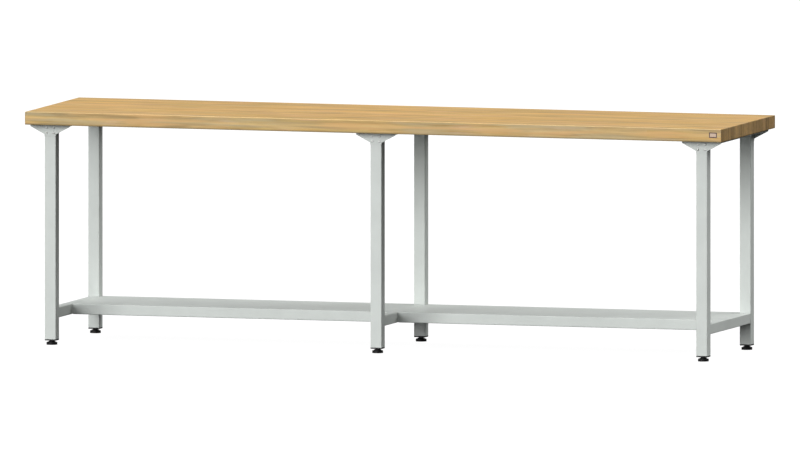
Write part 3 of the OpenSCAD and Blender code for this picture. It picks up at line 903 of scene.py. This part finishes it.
class BENCH_OT_add_screws(bpy.types.Operator):
    """Make the button head screws of the brackets, worktop and shelves"""

    bl_idname = "bench.add_screws"
    bl_label = "Add Screws"

    def execute(self, context):
        looks = context.scene.workbench
        size = looks.screws
        zinc = named_material("bright zinc plate", bright_zinc, looks.steel)

        def add_screws(node, screw, turns, places):
            screws = repeated(screw, np.array(turns), places)
            add_piece(f"{node}_threaded", screws, zinc, "bench", [node])

        upper = TOP_LOW.z - size.plate_top
        lower = upper - size.plate_rows
        turns, places = [], []
        for foot in FEET:
            low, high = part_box(f"leg_{foot}")
            in_front = foot.startswith("front")
            face = low.y - size.plate_sheet if in_front else high.y + size.plate_sheet
            for x in (low.x + size.plate_edge, high.x - size.plate_edge):
                places += [(x, face, upper), (x, face, lower)]
                turns += 2 * [TO_BACK if in_front else TO_FRONT]
        screw = button_screw(size.plate_d, size.plate_length, size.plate_pitch)
        add_screws("bracket_screws", screw, turns, places)

        places = []
        for side in SIDES:
            low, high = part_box(f"top_bracket_{side}")
            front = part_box(f"leg_front_{side}")[1].y + size.wood_inset
            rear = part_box(f"leg_rear_{side}")[0].y - size.wood_inset
            for x in (low.x + size.wood_edge, high.x - size.wood_edge):
                places += [(x, y, TOP_LOW.z - size.plate_sheet) for y in (front, rear)]
        screw = button_screw(size.wood_d, size.wood_length, size.wood_pitch, point=size.wood_d)
        add_screws("worktop_screws", screw, UPRIGHT, places)

        turns, places = [], []
        for side in ("left", "right"):
            low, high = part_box(f"shelf_{side}")
            bar_low, bar_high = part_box(f"crossbar_{side}")
            z = (bar_low.z + bar_high.z) / 2
            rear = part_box(f"leg_rear_{side}")[0].y - size.shelf_inset
            for y in (low.y + size.shelf_inset, rear):
                places += [(low.x + size.shelf_sheet, y, z), (high.x - size.shelf_sheet, y, z)]
                turns += [TO_LEFT, TO_RIGHT]
        screw = button_screw(size.shelf_d, size.shelf_length, size.shelf_pitch)
        add_screws("shelf_screws", screw, turns, places)
        return {"FINISHED"}


class BENCH_OT_add_feet(bpy.types.Operator):
    """Make the fluted pads and threaded spindles of the levelling feet"""

    bl_idname = "bench.add_feet"
    bl_label = "Add Levelling Feet"

    def execute(self, context):
        looks = context.scene.workbench
        plastic = named_material("black moulded plastic", moulded_plastic, looks.plastic)
        black = named_material("black zinc plate", black_zinc, looks.steel)
        for foot in FEET:
            low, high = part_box(f"foot_pad_{foot}")
            middle = np.array([[(low.x + high.x) / 2, (low.y + high.y) / 2, 0.0]])
            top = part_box(f"foot_spindle_{foot}")[1].z
            pad = levelling_pad(looks.feet, (high.x - low.x) / 2, high.z)
            add_piece(
                f"fluted_pad_{foot}", repeated(pad, UPRIGHT, middle), plastic,
                f"pad_{foot}", [f"foot_pad_{foot}"],
            )
            spindle = levelling_spindle(looks.feet, high.z, top)
            add_piece(
                f"threaded_spindle_{foot}", repeated(spindle, UPRIGHT, middle), black,
                f"spindle_{foot}", [f"foot_spindle_{foot}"],
            )
        return {"FINISHED"}


class BENCH_OT_add_welds(bpy.types.Operator):
    """Make the weld beads between crossbars and legs"""

    bl_idname = "bench.add_welds"
    bl_label = "Add Welds"

    def execute(self, context):
        looks = context.scene.workbench
        paint = named_material("light grey powder coat", powder_coat, looks.paint)
        half_turn = np.diag([-1.0, -1.0, 1.0])
        turns, places = [], []
        for side in SIDES:
            low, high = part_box(f"crossbar_{side}")
            x, z = (low.x + high.x) / 2, (low.z + high.z) / 2
            places += [(x, low.y, z), (x, high.y, z)]
            turns += [UPRIGHT, half_turn]
        leg_low, leg_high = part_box("leg_front_left")
        seam = weld_seam(looks.welds, high.x - low.x, leg_high.x - leg_low.x)
        seams = repeated(seam, np.array(turns), places)
        add_piece("frame_welds", seams, paint, "bench", sharp=60)
        return {"FINISHED"}


class BENCH_OT_add_label(bpy.types.Operator):
    """Make the bare label on the worktop's front edge"""

    bl_idname = "bench.add_label"
    bl_label = "Add Label"

    def execute(self, context):
        look = context.scene.workbench.label
        x = TOP_HIGH.x - look.inset - look.width / 2
        middle = Vector((x, TOP_LOW.y, TOP_HIGH.z - look.drop - look.height / 2))
        sunk, lip, corner, field_step = 0.05 * MM, 0.25 * MM, 1.5 * MM, 2 * MM
        raised, border = look.thickness, look.border
        steps = [
            (0.3 * look.height, -sunk), (0.0, -sunk), (0.0, raised - lip), (lip, raised),
            (border - lip, raised), (border, raised - lip), (border + field_step, raised - lip),
        ]
        plate = rounded_plate(look.width, look.height, steps, corner)
        upright = repeated(plate, TO_FRONT, [tuple(middle)])
        add_piece("front_label", upright, label_print(look, middle), "bench")
        return {"FINISHED"}


class BENCH_OT_set_stage(bpy.types.Operator):
    """Make the camera, the pale floor and the soft light"""

    bl_idname = "bench.set_stage"
    bl_label = "Set Stage"

    def execute(self, context):
        scene = context.scene
        look = scene.workbench.stage
        aim = Vector((0.0, 0.0, look.aim_height))
        back = way_to(look.azimuth, look.elevation)
        data = bpy.data.cameras.new("camera")
        data.type = "ORTHO"
        data.ortho_scale = look.view_width
        data.clip_end = 1000.0
        scene.camera = add_aimed("camera", data, back)
        scene.camera.location = aim + look.distance * back

        half = look.floor_size / 2
        corners = [(-half, -half, 0.0), (half, -half, 0.0), (half, half, 0.0), (-half, half, 0.0)]
        mesh = bpy.data.meshes.new("floor")
        mesh.from_pydata(corners, [], [range(4)])
        mesh.materials.append(pale_floor(look))
        floor = linked("floor", mesh)
        floor.visible_diffuse = False
        floor.visible_glossy = False

        add_sun("key_light", look.key, look.key_azimuth, look.key_elevation, look.key_spread)
        add_sun("rim_light", look.rim, look.rim_azimuth, look.rim_elevation, look.rim_spread)
        soft_sky(scene, look)
        scene.view_settings.view_transform = "Standard"
        return {"FINISHED"}


def pale_floor(look):
    """A floor that is mostly lit evenly, while the rest takes real light and faint shadows."""
    g = Graph("pale floor")
    even = g.first("Emission", {"Color": WHITE, "Strength": look.floor_light})
    lit = g.first("BsdfDiffuse", {"Color": look.floor_color})
    both = g.first("MixShader", {0: 1 - look.floor_glow, 1: even, 2: lit})
    g.node("OutputMaterial", {"Surface": both})
    return g.material


def way_to(azimuth, elevation):
    """The direction to a point so far round to the right of the front, and so far up."""
    flat = math.cos(elevation)
    return Vector((math.sin(azimuth) * flat, -math.cos(azimuth) * flat, math.sin(elevation)))


def add_aimed(name, data, back):
    """A camera or light that looks against the direction back."""
    made = linked(name, data)
    made.rotation_mode = "QUATERNION"
    made.rotation_quaternion = (-back).to_track_quat("-Z", "Y")
    return made


def add_sun(name, strength, azimuth, elevation, spread):
    """A broad, soft and distant light, even over the whole length of the bench."""
    data = bpy.data.lights.new(name, "SUN")
    data.energy = strength
    data.angle = spread
    add_aimed(name, data, way_to(azimuth, elevation))


def soft_sky(scene, look):
    """White behind the object, and soft light on it, stronger the higher it comes from."""
    world = bpy.data.worlds.new("soft sky")
    scene.world = world
    world.use_nodes = True
    g = Graph("soft sky", world.node_tree)
    _, _, up = g.parts(g.node("TexCoord").outputs["Generated"])
    blur = 0.02
    strength = g.blend(g.ramp(up, 0.0, 1.0), (look.horizon,) * 3, (look.sky,) * 3)
    strength = g.blend(g.ramp(up, -blur, blur), (look.below,) * 3, strength)
    light = g.first("Background", {"Color": WHITE, "Strength": strength})
    plain = g.first("Background", {"Color": WHITE, "Strength": 1.0})
    seen = g.node("LightPath").outputs["Is Camera Ray"]
    g.node("OutputWorld", {"Surface": g.first("MixShader", {0: seen, 1: light, 2: plain})})


STEPS = (
    BENCH_OT_set_stage,
    BENCH_OT_dress_worktop,
    BENCH_OT_paint_frames,
    BENCH_OT_finish_small_parts,
    BENCH_OT_add_screws,
    BENCH_OT_add_feet,
    BENCH_OT_add_welds,
    BENCH_OT_add_label,
)


class BENCH_PT_looks(bpy.types.Panel):
    """Lists the workbench's steps and its sizes and colours"""

    bl_idname = "BENCH_PT_looks"
    bl_label = "Workbench"
    bl_space_type = "VIEW_3D"
    bl_region_type = "UI"
    bl_category = "Workbench"

    def draw(self, context):
        for step in STEPS:
            self.layout.operator(step.bl_idname)
        for name in WorkbenchLooks.__annotations__:
            group = getattr(context.scene.workbench, name)
            box = self.layout.box()
            box.label(text=name.capitalize())
            for prop in type(group).__annotations__:
                box.prop(group, prop)


CLASSES = (
    WorktopLook, PaintLook, PlasticLook, SteelLook, ScrewSizes, FootSizes, WeldSizes, LabelLook,
    StageLook, WorkbenchLooks, *STEPS, BENCH_PT_looks,
)


def register():
    for each in CLASSES:
        bpy.utils.register_class(each)
    bpy.types.Scene.workbench = PointerProperty(type=WorkbenchLooks)


def unregister():
    del bpy.types.Scene.workbench
    for each in reversed(CLASSES):
        bpy.utils.unregister_class(each)


def main():
    """Runs every step in order."""
    register()
    for step in STEPS:
        getattr(bpy.ops.bench, step.bl_idname.partition(".")[2])()


if __name__ == "__main__":
    main()
